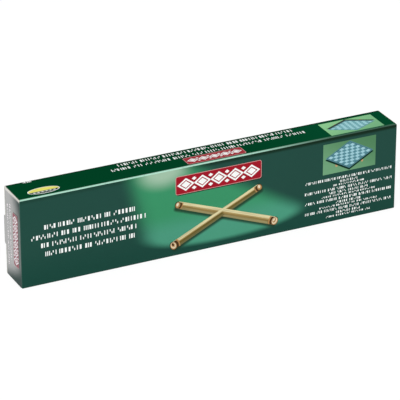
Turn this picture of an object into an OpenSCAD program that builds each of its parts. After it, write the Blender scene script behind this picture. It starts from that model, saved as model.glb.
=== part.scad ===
// Long printed tuck-end carton that holds a wooden turntable in two parts.
// The carton stands on its long narrow side. X runs along its length, Y from its front to its
// back, and Z up. The origin is the centre of the bottom panel's outer face.

/* [Turntable arms] */
// Length of each wooden arm, between the washers at its two ends
arm_length = 360; // [300:1:420]
// Width of an arm, across its top face
arm_width = 24; // [20:0.5:26]
// Height of an arm as it lies on the table
arm_height = 22; // [16:0.5:25]
// Radius of the arm's softened long edges
arm_edge_radius = 2.2; // [1:0.1:4]

/* [Wheels] */
// Diameter of the wooden wheels at the arms' ends
wheel_diameter = 30; // [28:0.5:36]
// Width of a wheel along its axle
wheel_width = 13; // [10:0.5:18]
// Radius of the wheel's softened rims
wheel_rim_radius = 2; // [1:0.1:3]
// Diameter of the sunk seat for the screw's head
head_seat_diameter = 13; // [12.5:0.5:16]
// Depth of that seat
head_seat_depth = 4; // [3.5:0.5:6]

/* [Axle screws] */
// Diameter of the plain axle that the wheel turns on
axle_diameter = 6; // [5:0.5:8]
// Diameter of the threaded end that holds in the wood
thread_diameter = 5; // [3.5:0.5:5]
// Length of the threaded end
thread_length = 30; // [20:1:45]
// Diameter of the screw's head
head_diameter = 11; // [9:0.5:12]
// Thickness of the screw's head
head_thickness = 3; // [2:0.25:3.5]
// Width of the head's hexagonal socket, across its corners
socket_width = 4.6; // [3:0.1:5]
// Depth of that socket
socket_depth = 1.8; // [1:0.1:2]
// Outer diameter of the washer between arm and wheel
washer_diameter = 15; // [12:0.5:18]
// Thickness of the washer
washer_thickness = 1; // [0.5:0.1:2]

/* [Carton] */
// Thickness of the paperboard
board = 0.6; // [0.4:0.05:0.8]
// Outside radius of the four long folds
fold_radius = 1.1; // [0.9:0.1:1.6]
// Free height above the upper arm's wheels
headroom = 30; // [20:1:60]
// Free depth between the wheels and the tuck flaps
depth_play = 2; // [1:0.5:10]
// Free length between a wheel and the closed end, at each end
end_play = 4.5; // [2:0.5:12]
// Width of the glue flap inside the bottom
glue_flap_width = 14; // [8:1:16]
// How far the glue flap stops short of the carton's ends
glue_flap_inset = 6; // [5:1:15]

/* [End closures] */
// Length of a dust flap
dust_flap_length = 18; // [12:1:20]
// Length of a tuck flap
tuck_flap_length = 12; // [9:0.5:12.5]
// How far the closed tuck flap leans in from the back panel, in degrees
tuck_lean = 13; // [12.5:0.5:16]
// Height that each end of the tuck flap falls short of the carton
tuck_flap_inset = 5; // [4:0.5:10]
// Cut at the tuck flap's free corners
tuck_corner = 6; // [3:0.5:8]
// Width of the lock tongue, along the carton's height
tongue_width = 30; // [15:1:36]
// How far the lock tongue stands out past the back panel
tongue_reach = 3; // [1:0.5:5]
// Round on the corners of the tongue
tongue_corner = 1.5; // [0.5:0.25:2.5]

/* [Hidden] */
$fn = 64;

// Clearances
fold_gap = 0.1;        // from a crease's bead to the flap that turns about it
layer_gap = 0.1;       // between a closure and the dust flaps behind it
edge_gap = 0.4;        // from a closure's cut edge to the carton's top or bottom
flap_side_gap = 0.5;   // from a dust flap to the front panel
tuck_gap = 0.25;       // from the tuck crease to the back panel
flap_tuck_gap = 1.5;   // from a dust flap to the tuck crease
tongue_gap = 0.3;      // around the tongue in its notch
roll_gap = 0.3;        // under, between and in front of the wheels
running_gap = 0.2;     // beside a wheel's faces
bore_gap = 0.05;       // around the axle, on the radius
notch_gap = 0.2;       // beside the crossing arm in its notch
notch_depth_gap = 0.1; // under the crossing arm in its notch

// How far a dust flap turns for each degree of its closure
dust_follow = 0.5;
// What its front edge keeps behind the swinging closure
dust_edge_margin = 1;
// Cut at a dust flap's free back corner
dust_corner = 3;
// Cut-back of the glue flap's slanted ends
glue_flap_slant = 6;

// Turntable sizes
wheel_radius = wheel_diameter / 2;
axle_radius = axle_diameter / 2;
bore_radius = axle_radius + bore_gap;
wheel_start = arm_length / 2 + washer_thickness + running_gap;
wheel_end = wheel_start + wheel_width;
head_seat_floor = wheel_end - head_seat_depth;
head_start = head_seat_floor + running_gap;
notch_width = arm_width + 2 * notch_gap;
notch_depth = arm_height / 2 + notch_depth_gap;

// Carton sizes
tuck_intrusion = tuck_gap + board / 2
    + tuck_flap_length * sin(tuck_lean) + board / 2 * cos(tuck_lean);
half_length = wheel_end + end_play + 2 * board + layer_gap;
depth = 2 * board + roll_gap + wheel_diameter + depth_play + tuck_intrusion;
height = 2 * board + 2 * roll_gap + 2 * wheel_diameter + headroom;

// Crease lines: each runs in the middle of its board's thickness
closure_x = half_length - board / 2;
closure_y = -depth / 2 + board / 2;
tuck_y = depth / 2 - board - tuck_gap - board / 2;
dust_x = closure_x - board - layer_gap;
upper_dust_z = height - board / 2;
lower_dust_z = board / 2;
flap_start = board / 2 + fold_gap;
// The leaning tuck flap starts further off, so that its root clears the closure's face
tuck_start = (board / 2 + fold_gap + board / 2 * sin(tuck_lean)) / cos(tuck_lean);

// Places of the arms in the carton
arm_y = -depth / 2 + board + roll_gap + wheel_radius;
lower_z = board + roll_gap + wheel_radius;
upper_z = lower_z + wheel_diameter + roll_gap;

PRINT_GREEN = [0.10, 0.30, 0.25];
TOP_GREEN = [0.02, 0.27, 0.14];
END_GREY = [0.60, 0.62, 0.60];
BOARD_GREY = [0.78, 0.76, 0.71];
WOOD = [0.80, 0.66, 0.42];
WHEEL_WOOD = [0.86, 0.74, 0.52];
STEEL = [0.45, 0.43, 0.40];
ZINC = [0.72, 0.72, 0.70];

// A rectangle with round corners, centred, as a true outline
module round_rect(w, h, r) {
    square([w, h - 2 * r], center = true);
    square([w - 2 * r, h], center = true);
    for (a = [-1, 1], b = [-1, 1]) translate([a * (w / 2 - r), b * (h / 2 - r)]) circle(r);
}

// Runs a (Y, Z) section along X, centred
module along_x(length) {
    rotate([90, 0, 90]) linear_extrude(length, center = true) children();
}

// One layer of board in the plane across X, from an outline in (Y, Z)
module board_across_x(x) {
    translate([x - board / 2, 0, 0]) rotate([90, 0, 90]) linear_extrude(board) children();
}

// The sleeve's section: four walls with rounded folds
module sleeve_section() {
    translate([0, height / 2]) difference() {
        round_rect(depth, height, fold_radius);
        round_rect(depth - 2 * board, height - 2 * board, fold_radius - board);
    }
}

// The wedge of the section that belongs to one wall: it ends in mitres at both folds.
// side is -1 for the low side and 1 for the high side; across is the wall's own width.
module wall_wedge(across, side, offset_out) {
    e = fold_radius;
    m = 2 * fold_radius;
    polygon([
        [side * (offset_out + e), -across / 2 - e],
        [side * (offset_out - m), -across / 2 + m],
        [side * (offset_out - m), across / 2 - m],
        [side * (offset_out + e), across / 2 + e]
    ]);
}

// The sleeve's front (side -1) or back (side 1) wall
module upright_wall(side, length) {
    along_x(length) intersection() {
        sleeve_section();
        translate([0, height / 2]) wall_wedge(height, side, depth / 2);
    }
}

// The sleeve's bottom (side -1) or top (side 1) wall
module level_wall(side, length) {
    along_x(length) intersection() {
        sleeve_section();
        translate([0, height / 2]) rotate(90) mirror([0, 1]) wall_wedge(depth, side, height / 2);
    }
}

// Both ends of the carton are alike: x_side is -1 on the left and 1 on the right
module each_end() {
    for (x_side = [-1, 1]) scale_x(x_side) children();
}

module scale_x(x_side) {
    if (x_side < 0) mirror([1, 0, 0]) children();
    else children();
}

module front_panel() color(PRINT_GREEN) union() {
    upright_wall(-1, 2 * closure_x);
    each_end() translate([closure_x, closure_y, fold_radius])
        cylinder(d = board, h = height - 2 * fold_radius);
}

module back_panel() color(PRINT_GREEN) difference() {
    upright_wall(1, 2 * half_length);
    each_end() translate([
        half_length - board - tongue_gap,
        depth / 2 - 2 * board,
        height / 2 - tongue_width / 2 - tongue_gap
    ]) cube([2 * board + tongue_gap, 3 * board, tongue_width + 2 * tongue_gap]);
}

// A top or bottom panel, with the beads that its two dust flaps turn about
module level_panel(side, crease_z) color(side > 0 ? TOP_GREEN : PRINT_GREEN) union() {
    level_wall(side, 2 * dust_x);
    each_end() translate([dust_x, dust_back_y(), crease_z]) rotate([90, 0, 0])
        cylinder(d = board, h = dust_back_y() - dust_front_y());
}

module top_panel() level_panel(1, upper_dust_z);
module bottom_panel() level_panel(-1, lower_dust_z);

module glue_flap() color(BOARD_GREY) {
    back = depth / 2 - fold_radius;
    end = dust_x - glue_flap_inset;
    translate([0, 0, board]) linear_extrude(board) polygon([
        [-end, back],
        [end, back],
        [end - glue_flap_slant, back - glue_flap_width],
        [-end + glue_flap_slant, back - glue_flap_width]
    ]);
}

// A closure's plate, the beads of its tuck crease, and its lock tongue
module closure() color(END_GREY) union() {
    front = closure_y + flap_start;
    low = edge_gap;
    high = height - edge_gap;
    tongue_low = height / 2 - tongue_width / 2;
    tongue_high = height / 2 + tongue_width / 2;
    tongue_end = depth / 2 + tongue_reach;
    board_across_x(closure_x) {
        polygon([
            [front, low + fold_radius],
            [front + fold_radius, low],
            [tuck_y, low],
            [tuck_y, high],
            [front + fold_radius, high],
            [front, high - fold_radius]
        ]);
        polygon([
            [tuck_y - board, tongue_low],
            [tongue_end - tongue_corner, tongue_low],
            [tongue_end, tongue_low + tongue_corner],
            [tongue_end, tongue_high - tongue_corner],
            [tongue_end - tongue_corner, tongue_high],
            [tuck_y - board, tongue_high]
        ]);
    }
    for (stretch = [
        [tuck_flap_inset, tongue_low - tongue_gap],
        [tongue_high + tongue_gap, height - tuck_flap_inset]
    ]) translate([closure_x, tuck_y, stretch[0]])
        cylinder(d = board, h = stretch[1] - stretch[0]);
}

// The tuck flap turns about the closure's back edge and leans in by tuck_lean.
// Its root has the slot that the tongue was cut from.
module tuck_flap() color(BOARD_GREY) {
    low = tuck_flap_inset;
    high = height - tuck_flap_inset;
    slot = depth / 2 + tongue_reach - tuck_y;
    slot_low = height / 2 - tongue_width / 2 - tongue_gap;
    slot_high = height / 2 + tongue_width / 2 + tongue_gap;
    translate([closure_x, tuck_y, 0]) rotate([0, 0, 180 + tuck_lean])
        rotate([90, 0, 0]) linear_extrude(board, center = true) polygon([
            [tuck_start, low],
            [tuck_flap_length - tuck_corner, low],
            [tuck_flap_length, low + tuck_corner],
            [tuck_flap_length, high - tuck_corner],
            [tuck_flap_length - tuck_corner, high],
            [tuck_start, high],
            [tuck_start, slot_high],
            [slot, slot_high],
            [slot, slot_low],
            [tuck_start, slot_low]
        ]);
}

// Where a dust flap's root lies along its crease
function dust_front_y() = -depth / 2 + board + flap_side_gap;
function dust_back_y() = tuck_y - board / 2 - flap_tuck_gap;

// A dust flap hangs from crease_z by the given direction, -1 down or 1 up. Its front edge is
// cut back as far as the flap swings out, so that it stays behind the closure.
module dust_flap(crease_z, direction) color(BOARD_GREY) {
    free_front = closure_y + dust_follow * dust_flap_length + dust_edge_margin;
    board_across_x(dust_x) polygon([
        for (p = [
            [dust_front_y(), flap_start],
            [free_front, dust_flap_length],
            [dust_back_y() - dust_corner, dust_flap_length],
            [dust_back_y(), dust_flap_length - dust_corner],
            [dust_back_y(), flap_start]
        ]) [p[0], crease_z + direction * p[1]]
    ]);
}

// A wooden arm with its long edges softened, the notch for the crossing arm and the two holes
// for the screws. notch_side is 1 for a notch in the top and -1 for one underneath.
module arm(z, notch_side) color(WOOD) translate([0, arm_y, z]) difference() {
    along_x(arm_length) round_rect(arm_width, arm_height, arm_edge_radius);
    translate([0, 0, notch_side * (arm_height - notch_depth)])
        cube([notch_width, 2 * arm_width, arm_height], center = true);
    each_end() translate([arm_length / 2 - thread_length, 0, 0]) rotate([0, 90, 0])
        cylinder(d = thread_diameter, h = 2 * thread_length);
}

// The half outline of a wheel: x is the distance from the axle and y the place along it
module wheel_profile() {
    difference() {
        union() {
            translate([0, wheel_rim_radius])
                square([wheel_radius, wheel_width - 2 * wheel_rim_radius]);
            square([wheel_radius - wheel_rim_radius, wheel_width]);
            for (y = [wheel_rim_radius, wheel_width - wheel_rim_radius])
                translate([wheel_radius - wheel_rim_radius, y]) circle(wheel_rim_radius);
        }
        translate([-wheel_width, -wheel_width]) square([wheel_width + bore_radius, 3 * wheel_width]);
        translate([-wheel_width, wheel_width - head_seat_depth])
            square([wheel_width + head_seat_diameter / 2, 2 * head_seat_depth]);
    }
}

module wheel(z, x_side) color(WHEEL_WOOD) scale_x(x_side)
    translate([wheel_start, arm_y, z]) rotate([0, 90, 0]) rotate_extrude() wheel_profile();

// The thread in the wood, the plain axle that stands on the arm's end, and the head
module axle_screw() difference() {
    union() {
        translate([0, 0, -thread_length]) cylinder(d = thread_diameter, h = thread_length);
        cylinder(d = axle_diameter, h = head_start - arm_length / 2);
        translate([0, 0, head_start - arm_length / 2])
            cylinder(d = head_diameter, h = head_thickness);
    }
    translate([0, 0, head_start - arm_length / 2 + head_thickness - socket_depth])
        cylinder(d = socket_width, h = 2 * socket_depth, $fn = 6);
}

module axle_screws(z) color(STEEL) each_end() translate([arm_length / 2, arm_y, z])
    rotate([0, 90, 0]) axle_screw();

module washers(z) color(ZINC) each_end() translate([arm_length / 2, arm_y, z])
    rotate([0, 90, 0]) difference() {
        cylinder(d = washer_diameter, h = washer_thickness);
        translate([0, 0, -washer_thickness])
            cylinder(r = bore_radius, h = 3 * washer_thickness);
    }

front_panel();
back_panel();
top_panel();
bottom_panel();
glue_flap();
scale_x(-1) closure();  // left_closure
scale_x(-1) tuck_flap();  // left_tuck_flap
scale_x(-1) dust_flap(upper_dust_z, -1);  // left_upper_dust_flap
scale_x(-1) dust_flap(lower_dust_z, 1);  // left_lower_dust_flap
closure();  // right_closure
tuck_flap();  // right_tuck_flap
dust_flap(upper_dust_z, -1);  // right_upper_dust_flap
dust_flap(lower_dust_z, 1);  // right_lower_dust_flap
arm(lower_z, 1);  // lower_arm
wheel(lower_z, -1);  // lower_left_wheel
wheel(lower_z, 1);  // lower_right_wheel
axle_screws(lower_z);  // lower_axle_screws
washers(lower_z);  // lower_washers
arm(upper_z, -1);  // upper_arm
wheel(upper_z, -1);  // upper_left_wheel
wheel(upper_z, 1);  // upper_right_wheel
axle_screws(upper_z);  // upper_axle_screws
washers(upper_z);  // upper_washers
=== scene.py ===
"""Finishes a long printed tuck-end carton and the two-part wooden turntable packed in it.

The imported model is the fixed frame: panels, flaps, arms, wheels and screws keep their shapes and
get their materials here. The carton's print is thin ink geometry that lies on its outer faces.
Flat artwork is drawn with its upper left corner at the origin: u runs right and v runs down.
"""
import math
import random

import bpy
from bpy.props import FloatProperty, FloatVectorProperty, PointerProperty
from mathutils import Matrix, Vector


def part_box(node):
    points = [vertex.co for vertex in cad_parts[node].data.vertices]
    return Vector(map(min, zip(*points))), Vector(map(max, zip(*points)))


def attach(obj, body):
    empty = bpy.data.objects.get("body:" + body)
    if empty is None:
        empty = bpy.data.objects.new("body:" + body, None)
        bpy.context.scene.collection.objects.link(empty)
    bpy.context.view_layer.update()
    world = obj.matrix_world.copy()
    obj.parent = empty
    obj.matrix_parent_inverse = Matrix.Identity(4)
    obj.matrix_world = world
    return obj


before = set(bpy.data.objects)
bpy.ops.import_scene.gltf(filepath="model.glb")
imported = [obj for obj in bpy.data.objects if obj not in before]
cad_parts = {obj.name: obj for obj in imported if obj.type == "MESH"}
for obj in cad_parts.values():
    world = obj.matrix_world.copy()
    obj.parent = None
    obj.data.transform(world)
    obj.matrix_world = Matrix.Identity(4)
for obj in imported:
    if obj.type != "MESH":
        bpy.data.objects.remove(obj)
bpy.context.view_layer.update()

bl_info = {
    "name": "Turntable carton",
    "version": (1, 0, 0),
    "blender": (4, 5, 0),
    "location": "3D View > Sidebar > Carton",
    "description": "Prints and finishes a tuck-end carton and the wooden turntable in it",
    "category": "Object",
}

MM = 0.001
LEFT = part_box("left_closure")[0].x
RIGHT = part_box("right_closure")[1].x
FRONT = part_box("front_panel")[0].y
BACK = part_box("back_panel")[1].y
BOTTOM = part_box("bottom_panel")[0].z
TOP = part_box("top_panel")[1].z
MIDDLE = Vector((0.0, (FRONT + BACK) / 2, (BOTTOM + TOP) / 2))
ENDS = ("left", "right")


# ---------------------------------------------------------------- artwork on the carton

def face(corner, right, up):
    """Where flat artwork goes: its upper left corner, and its directions to the right and up."""
    right, up = Vector(right), Vector(up)
    columns = (right, up, right.cross(up), Vector(corner))
    return Matrix([[column[row] for column in columns] for row in range(3)] + [[0, 0, 0, 1]])


X, Y, Z = (1, 0, 0), (0, 1, 0), (0, 0, 1)
MINUS_X, MINUS_Y = (-1, 0, 0), (0, -1, 0)
# Each face with the body that carries it and its material slot. The top is printed to be read
# from the back, and the ends are printed to be read with the carton on its left end.
FACES = {
    "front": (face((LEFT, FRONT, TOP), X, Z), "carton", "printed_front_board"),
    "back": (face((RIGHT, BACK, TOP), MINUS_X, Z), "carton", "printed_back_board"),
    "top": (face((RIGHT, FRONT, TOP), MINUS_X, MINUS_Y), "carton", "printed_top_board"),
    "bottom": (face((RIGHT, BACK, BOTTOM), MINUS_X, Y), "carton", "printed_bottom_board"),
    "left_end": (face((LEFT, BACK, BOTTOM), Z, Y), "left_closure", "printed_end_board"),
    "right_end": (face((RIGHT, FRONT, BOTTOM), Z, MINUS_Y), "right_closure", "printed_end_board"),
}

# Places are (u, v) in millimetres. A line of strokes is (left, right, middle, height), and
# plaques, the badge and pictures start with their middle and size.
FRONT_LINES = [(24.0, 116.9, 32.5, 4.6), (10.8, 128.0, 41.8, 4.6), (20.4, 118.2, 50.9, 4.6),
               (24.5, 116.4, 60.3, 4.6)]
TOP_LINES = [(90.8, 296.5, 22.5, 4.6), (100.7, 286.6, 31.0, 4.6)]
TOP_CORNER_LINE = [(373.8, 382.0, 34.6, 2.4)]
BOTTOM_LINE = [(150.0, 250.0, 18.5, 2.4)]
END_LINES = [(13.0, 76.0, 6.6, 2.6), (20.0, 78.0, 12.6, 2.6)]
# The small lines stand in blocks of three under each other. Each block has its lines' widths
SMALL_MIDDLE, SMALL_TOP, SMALL_PITCH = 347.4, 45.4, 11.0
SMALL_DROPS, SMALL_HEIGHTS = (0.0, 3.95, 7.2), (2.7, 2.5, 1.8)
SMALL_WIDTHS = [(95.6, 19.0, 34.0), (96.8, 43.0, 59.0), (95.6, 27.0, 64.0), (95.6, 26.4, 49.0)]
SMALL_LINES = [(SMALL_MIDDLE - width / 2, SMALL_MIDDLE + width / 2,
                SMALL_TOP + SMALL_PITCH * block + drop, height)
               for block, widths in enumerate(SMALL_WIDTHS)
               for width, drop, height in zip(widths, SMALL_DROPS, SMALL_HEIGHTS)]
FRONT_PLAQUE = ((205.4, 18.3), (91.5, 19.2))
TOP_PLAQUE = ((193.9, 10.8), (62.0, 14.6))
END_PLAQUE = ((45.4, 25.0), (55.0, 12.4))
TOP_BADGE = ((370.8, 11.8), (32.2, 12.8))
# Of a picture also: half the size of its game board, and how thick the board looks
FRONT_PICTURE = ((347.6, 23.2), (58.4, 32.4), (26.3, 14.6), 1.8)
TOP_PICTURE = ((41.9, 17.0), (58.4, 28.8), (26.0, 12.4), 2.6)
# Each pictured bar from its near end to its far end, with the kind of its near end
PICTURED_BARS = [((157.0, 80.4), (248.8, 37.2), "drilled"),
                 ((265.8, 77.1), (161.8, 38.2), "grooved")]
# Of each bar: the width and ink of its top, rounded edge, side and foot, from above to below
BAR_STRIPS = [((2.6, "bar_top"), (1.1, "bar_edge"), (2.0, "bar_dark_side"), (2.2, "bar_dark_foot")),
              ((2.9, "bar_top"), (1.3, "bar_edge"), (1.8, "bar_side"), (2.4, "bar_foot"))]
STRIP_OVERLAP = 0.5
# The shares of its width that a bar has at its near and its far end, and the sizes of its wheels
NEAR_SHARE, FAR_SHARE = 1.05, 0.89
NEAR_WHEEL, FAR_WHEEL = 8.4, 6.6
# Of each kind of turned end: the inks from its outline to its centre, and the rings' widths as
# shares of its size
WHEEL_RINGS = {
    "drilled": (("bar_groove", "bar_collar", "bar_light", "bar_end", "bar_groove"),
                (0.05, 0.07, 0.09, 0.10)),
    "grooved": (("bar_groove", "bar_end", "bar_light", "bar_collar", "bar_light"),
                (0.05, 0.07, 0.09, 0.12)),
    "far": (("bar_groove", "bar_collar", "bar_light"), (0.07, 0.17))}
# Behind it: each disc's name, shift, length and width in shares of its size, ink and layer. Of
# the bead in front of them: its length, width and layer
WHEEL_DISCS = [("collar", 0.66, 0.34, 1.04, "bar_collar", 8),
               ("groove", 0.40, 0.52, 0.98, "bar_groove", 9)]
BEAD_LENGTH, BEAD_WIDTH, BEAD_LAYER = 0.88, 1.06, 10
# How far the rings' insides lie up and to the left, as a share of each inset
RING_SHIFT = (-0.3, 0.6)
SHADOW_DROP, SHADOW_RADIUS, SHADOW_FADE, SHADOW_STRENGTH = 4.4 * MM, 2.4 * MM, 1.6 * MM, 0.9
# The straight right edge of the beam in the glow, how far it fades, and the beam's bright spot
BEAM_EDGE, BEAM_FADE = ((181.0, 3.5), (289.6, 65.2)), 9.4 * MM
SPOT_MIDDLE, SPOT_HALF_SIZE, SPOT_SOFTNESS = (147.0, -0.5), (23.0, 15.0), 0.6
# Of a plaque: its rim, where its shadow lies, and how far its row of lozenges stays from its ends
PLAQUE_RIM, PLAQUE_SHADOW, PLAQUE_ENDS = 0.5 * MM, Vector((0.7, 1.0)) * MM, 4 * MM
# Of a lozenge, as shares of its height: its edge, the ring in it, and the dots' place. As a share
# of its size: the dots between lozenges
LOZENGE_EDGE, LOZENGE_RING, DOT_RISE, DOT_SIZE = 0.12, 0.07, 0.36, 0.28
# Of a plaque's or the badge's lozenges: how wide one is, as a share of the pitch
PLAQUE_LOZENGE, BADGE_LOZENGE = 1.04, 0.66
# Of the badge, as shares of its size: where its dark part starts above its middle, where the row
# of lozenges stands above it, their pitch and their height
BADGE_RIM, BADGE_LOZENGES = 0.7 * MM, 6
BADGE_SPLIT, BADGE_ROW, BADGE_PITCH, BADGE_HEIGHT = 0.06, 0.20, 0.125, 0.22
# Of a pictured board: how far it stands above the picture's middle, where the nubs of its wheels
# show as shares of half its size, and the sizes of its lower edge and squares as shares of its own
BOARD_RISE = Vector((0.0, 1.0)) * MM
NUB_PLACE, NUB_SIZE = (0.54, 0.62), (2.8 * MM, 3.6 * MM)
EDGE_SHARE, SQUARES_SHARE = 1.02, 0.90
BOARD_RIMS, BOARD_SQUARES = [0.9 * MM, 0.3 * MM], 8


# ---------------------------------------------------------------- settings

def linear(red, green, blue):
    """A colour given as display values from 0 to 255, in the linear values of Blender's sockets."""
    def channel(value):
        share = value / 255
        return share / 12.92 if share <= 0.04045 else ((share + 0.055) / 1.055) ** 2.4
    return (channel(red), channel(green), channel(blue), 1.0)


WHITE = linear(255, 255, 255)


def colour(name, description, *display):
    """A colour setting, with its default in display values."""
    return FloatVectorProperty(name=name, description=description, default=linear(*display),
                               size=4, min=0.0, max=1.0, subtype="COLOR")


def length(name, description, default):
    """A length setting, in metres."""
    return FloatProperty(name=name, description=description, default=default, min=0.0,
                         precision=5, subtype="DISTANCE", unit="LENGTH")


def share(name, description, default):
    """A setting between 0 and 1."""
    return FloatProperty(name=name, description=description, default=default,
                         min=0.0, max=1.0, subtype="FACTOR")


def angle(name, description, degrees):
    """An angle setting, with its default in degrees."""
    return FloatProperty(name=name, description=description, default=math.radians(degrees),
                         subtype="ANGLE", unit="ROTATION")


def power(name, description, default):
    """A lamp's power, in watts."""
    return FloatProperty(name=name, description=description, default=default, min=0.0, unit="POWER")


class BoardSettings(bpy.types.PropertyGroup):
    """Paperboard, its printed ground colours and its folds"""
    thickness: length("Thickness", "Thickness of the board", 0.6 * MM)
    fold_radius: length("Fold radius", "Outside radius of the four long folds", 1.1 * MM)
    front_high: colour("Front, upper part", "Ground high on the front and back", 26, 70, 60)
    front_low: colour("Front, lower part", "Ground low on the front and back", 14, 66, 55)
    # painted shade: darker ground just beside the folds
    fold_shade: colour("Painted shade beside the folds", "Denser ink just beside the folds", 0, 36, 18)
    top_left: colour("Top, left", "Ground at the left of the top and bottom", 2, 66, 37)
    top_right: colour("Top, right", "Ground at the right of the top and bottom", 5, 75, 45)
    end_ground: colour("Ends", "Ground of the two closures", 42, 68, 64)
    # painted reflection: the closures' glossy film shown as a pale sheen in their colour
    end_haze: colour("End haze", "Painted sheen high on the closures' film", 161, 162, 161)
    # cracked ink, and on the long folds also a painted highlight
    crease: colour("Crease", "Ink where the folds have cracked it", 178, 224, 204)
    raw: colour("Raw board", "Uncoated side and cut edges of the board", 236, 233, 224)
    fleck: colour("Flecks", "Darker fibres in the raw board", 168, 158, 140)


class GlowSettings(bpy.types.PropertyGroup):
    """Soft light area printed behind the front's picture"""
    centre_u: length("Centre, across", "From the left edge to the middle of the pool", 211.0 * MM)
    centre_v: length("Centre, down", "From the top edge to the middle of the pool", 61.4 * MM)
    half_width: length("Half width", "Half the width of the pool of light", 88 * MM)
    half_height: length("Half height", "Half the height of the pool of light", 22.8 * MM)
    squareness: FloatProperty(name="Squareness", default=2.3, min=1.0, max=8.0,
                              description="Power in the pool's outline, which is 2 for an oval")
    spread: share("Spread", "How far the beam above the pool leans left as it rises", 0.24)
    softness: share("Softness", "Share of the half width over which the edge fades", 0.14)
    left_start: length("Left fade, start", "Where the light starts to grow at its left", 102 * MM)
    left_end: length("Left fade, end", "Where the light is fully grown at its left", 146 * MM)
    middle: colour("Beam", "Colour of the beam above the pool", 54, 143, 99)
    low: colour("Pool", "Colour of the pool of light", 72, 151, 123)
    bright: colour("Bright", "Colour of the beam's bright upper left", 158, 190, 165)


class InkSettings(bpy.types.PropertyGroup):
    """Inks of the print, and the width of its strokes"""
    film: length("Film", "How far one layer of ink stands off the board", 0.04 * MM)
    stroke: length("Stroke", "Width of one column in a large line of strokes", 0.95 * MM)
    small_stroke: length("Small stroke", "Width of one column in a small line", 0.62 * MM)
    corner: length("Plaque corner", "Corner radius of the red plaques", 2.2 * MM)
    white: colour("White", "White ink", 252, 255, 253)
    red: colour("Red", "Plaque ink", 160, 24, 40)
    rim: colour("Rim", "Pale rim of a plaque", 222, 160, 158)
    shadow: colour("Shadow", "Printed shadow under a plaque or a pictured part", 24, 52, 34)
    yellow: colour("Yellow", "Lower part of the badge", 236, 230, 108)
    lawn: colour("Picture ground", "Ground of the pictures, lighter part", 112, 162, 122)
    lawn_far: colour("Picture ground, far", "Ground of the pictures, darker part", 80, 130, 90)
    top_lawn: colour("Top picture ground", "Ground of the top's picture, light", 142, 208, 146)
    top_lawn_far: colour("Top picture, far", "Ground of the top's picture, dark", 116, 182, 130)
    slate: colour("Pictured board", "Dark squares and rim of the game board", 86, 138, 150)
    ice: colour("Pale squares", "Light squares of the pictured game board", 160, 206, 216)
    top_slate: colour("Top board", "Dark squares and rim in the top's picture", 108, 170, 178)
    top_ice: colour("Top pale squares", "Light squares in the top's picture", 168, 222, 228)
    board_edge: colour("Board edge", "Dark edge of the pictured board", 14, 48, 38)
    bar_top: colour("Bar, top", "Upper side of the pictured bars", 228, 216, 168)
    bar_edge: colour("Bar, edge", "Rounded edge between a bar's top and side", 176, 152, 98)
    bar_side: colour("Bar, side", "Shaded side of the lit bar", 148, 126, 76)
    bar_foot: colour("Bar, foot", "Lower edge of the lit bar's side", 156, 144, 100)
    bar_dark_side: colour("Bar, dark side", "Shaded side of the far-leaning bar", 108, 92, 44)
    bar_dark_foot: colour("Bar, dark foot", "Lower edge of the dark side", 118, 110, 68)
    bar_end: colour("Bar, end", "Turned end of the pictured bars", 198, 158, 112)
    bar_collar: colour("Bar, collar", "Turned collar between a bar and its end", 176, 134, 84)
    bar_light: colour("Bar, light", "Highlight on a bar's turned end", 234, 218, 188)
    bar_groove: colour("Bar, groove", "Dark groove and centre of a bar's end", 74, 52, 28)
    # These end inks are paled by a painted reflection of the ends' glossy film
    hazed_red: colour("Hazed plaque", "Plaque under the ends' glossy film", 160, 96, 106)
    hazed_rim: colour("Hazed rim", "Rim under the ends' glossy film", 190, 168, 170)
    hazed_white: colour("Hazed white", "White under the ends' glossy film", 245, 239, 242)


class WoodSettings(bpy.types.PropertyGroup):
    """Wood and metal of the turntable"""
    pale: colour("Pale wood", "Early wood of the arms", 222, 190, 138)
    dark: colour("Dark wood", "Late wood of the arms", 178, 132, 78)
    wheel_pale: colour("Wheel, pale", "Early wood of the wheels", 230, 202, 154)
    wheel_dark: colour("Wheel, dark", "Late wood of the wheels", 196, 152, 98)
    ring_width: length("Ring width", "Distance from one year ring to the next", 2.6 * MM)
    steel: colour("Steel", "Darkened steel of the axle screws", 150, 142, 130)
    zinc: colour("Zinc", "Plating of the washers", 205, 206, 204)
    stain: colour("Stain", "Stains on the steel and zinc", 96, 86, 74)


class StageSettings(bpy.types.PropertyGroup):
    """Camera, floor and light"""
    azimuth: angle("Azimuth", "Turn of the camera to the right of the front", -25.916)
    elevation: angle("Elevation", "Height of the camera above the horizon", 25.655)
    distance: length("Distance", "From the camera to the point it looks at", 2.6428)
    target: FloatVectorProperty(name="Target", description="The point that the camera looks at",
                                default=(-0.00564, 0.0, 0.04403),
                                subtype="TRANSLATION", unit="LENGTH")
    lens: FloatProperty(name="Lens", description="Focal length on a 36 mm sensor",
                        default=246.84, unit="CAMERA")
    sky: share("Sky", "Strength of the even light from all sides", 0.52)
    key: power("Key lamp", "Power of the lamp at the upper front left", 42.0)
    fill: power("Fill lamp", "Power of the lamp at the front right", 13.0)
    floor: colour("Floor", "Colour of the floor in the light", 238, 238, 238)
    shade: colour("Floor shade", "Share of the floor's white that shadows take", 122, 122, 122)
    lift: share("Floor lift", "Share of the floor's white that shadows leave", 0.86)


SETTINGS = {"board": BoardSettings, "glow": GlowSettings, "ink": InkSettings,
            "wood": WoodSettings, "stage": StageSettings}
# Lamps: where they stand and how wide they are, in metres
LAMPS = {"key": ((-1.3, -1.7, 2.1), 1.4), "fill": ((1.7, -2.0, 1.1), 1.6)}
SENSOR_WIDTH, FARTHEST, FLOOR_SIZE = 36.0, 60.0, 16.0
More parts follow.
